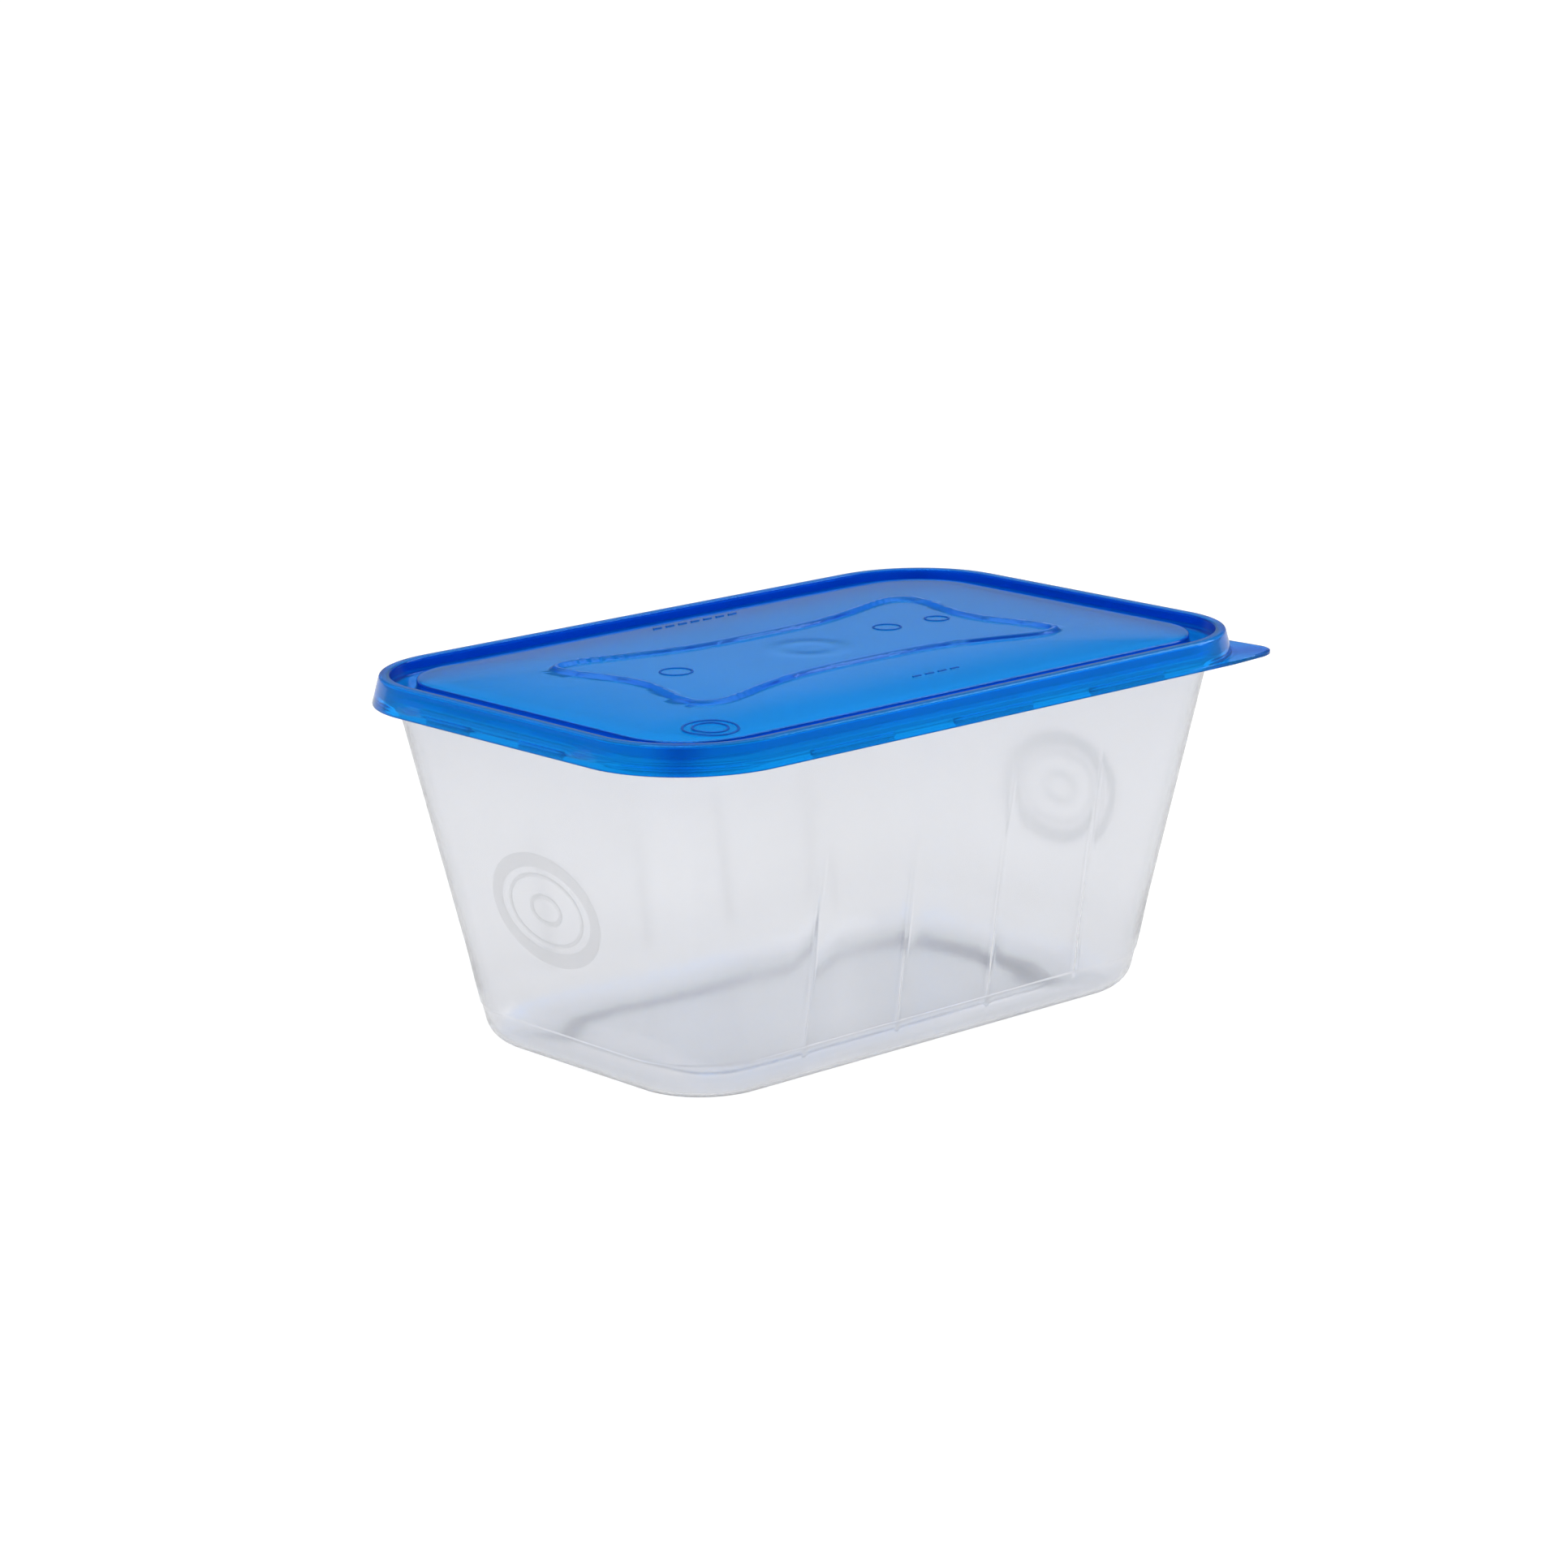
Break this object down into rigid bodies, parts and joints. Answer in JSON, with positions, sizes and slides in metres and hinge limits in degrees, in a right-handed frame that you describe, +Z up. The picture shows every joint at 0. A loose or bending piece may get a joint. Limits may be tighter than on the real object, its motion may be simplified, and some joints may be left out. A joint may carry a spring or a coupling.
{
  "type": "snap lid food container",
  "caption": "Rectangular food container: a thin tapered translucent tub closed by a push-on snap lid with a corner pull tab.",
  "frame": {"origin": "centre of the tub's base, on the surface it stands on", "axes": "+Z up, the way the lid lifts off; +X along the long side, towards the end that has the pull tab; the tab is in the corner towards +X and -Y"},
  "size_m": [0.172, 0.1136, 0.0802],
  "materials": {
    "tub_plastic": "translucent natural polypropylene, smooth with a soft sheen",
    "lid_plastic": "translucent blue polypropylene, smooth with a soft sheen"
  },
  "bodies": {
    "tub": {"tub": "tub_plastic"},
    "lid": {"lid": "lid_plastic"},
    "pull_tab": {"pull_tab": "lid_plastic"}
  },
  "joints": [
    {"name": "lid_lift", "type": "slide", "parent": "tub", "child": "lid", "axis": [0, 0, 1], "range_m": [0, 0.12]},
    {"name": "tab_flex", "type": "hinge", "parent": "lid", "child": "pull_tab", "pos_m": [0.07856, -0.04936, 0.0739], "axis": [-0.7071, -0.7071, 0], "range_deg": [-20, 40], "stiffness_Nm_per_rad": 0.002}
  ]
}
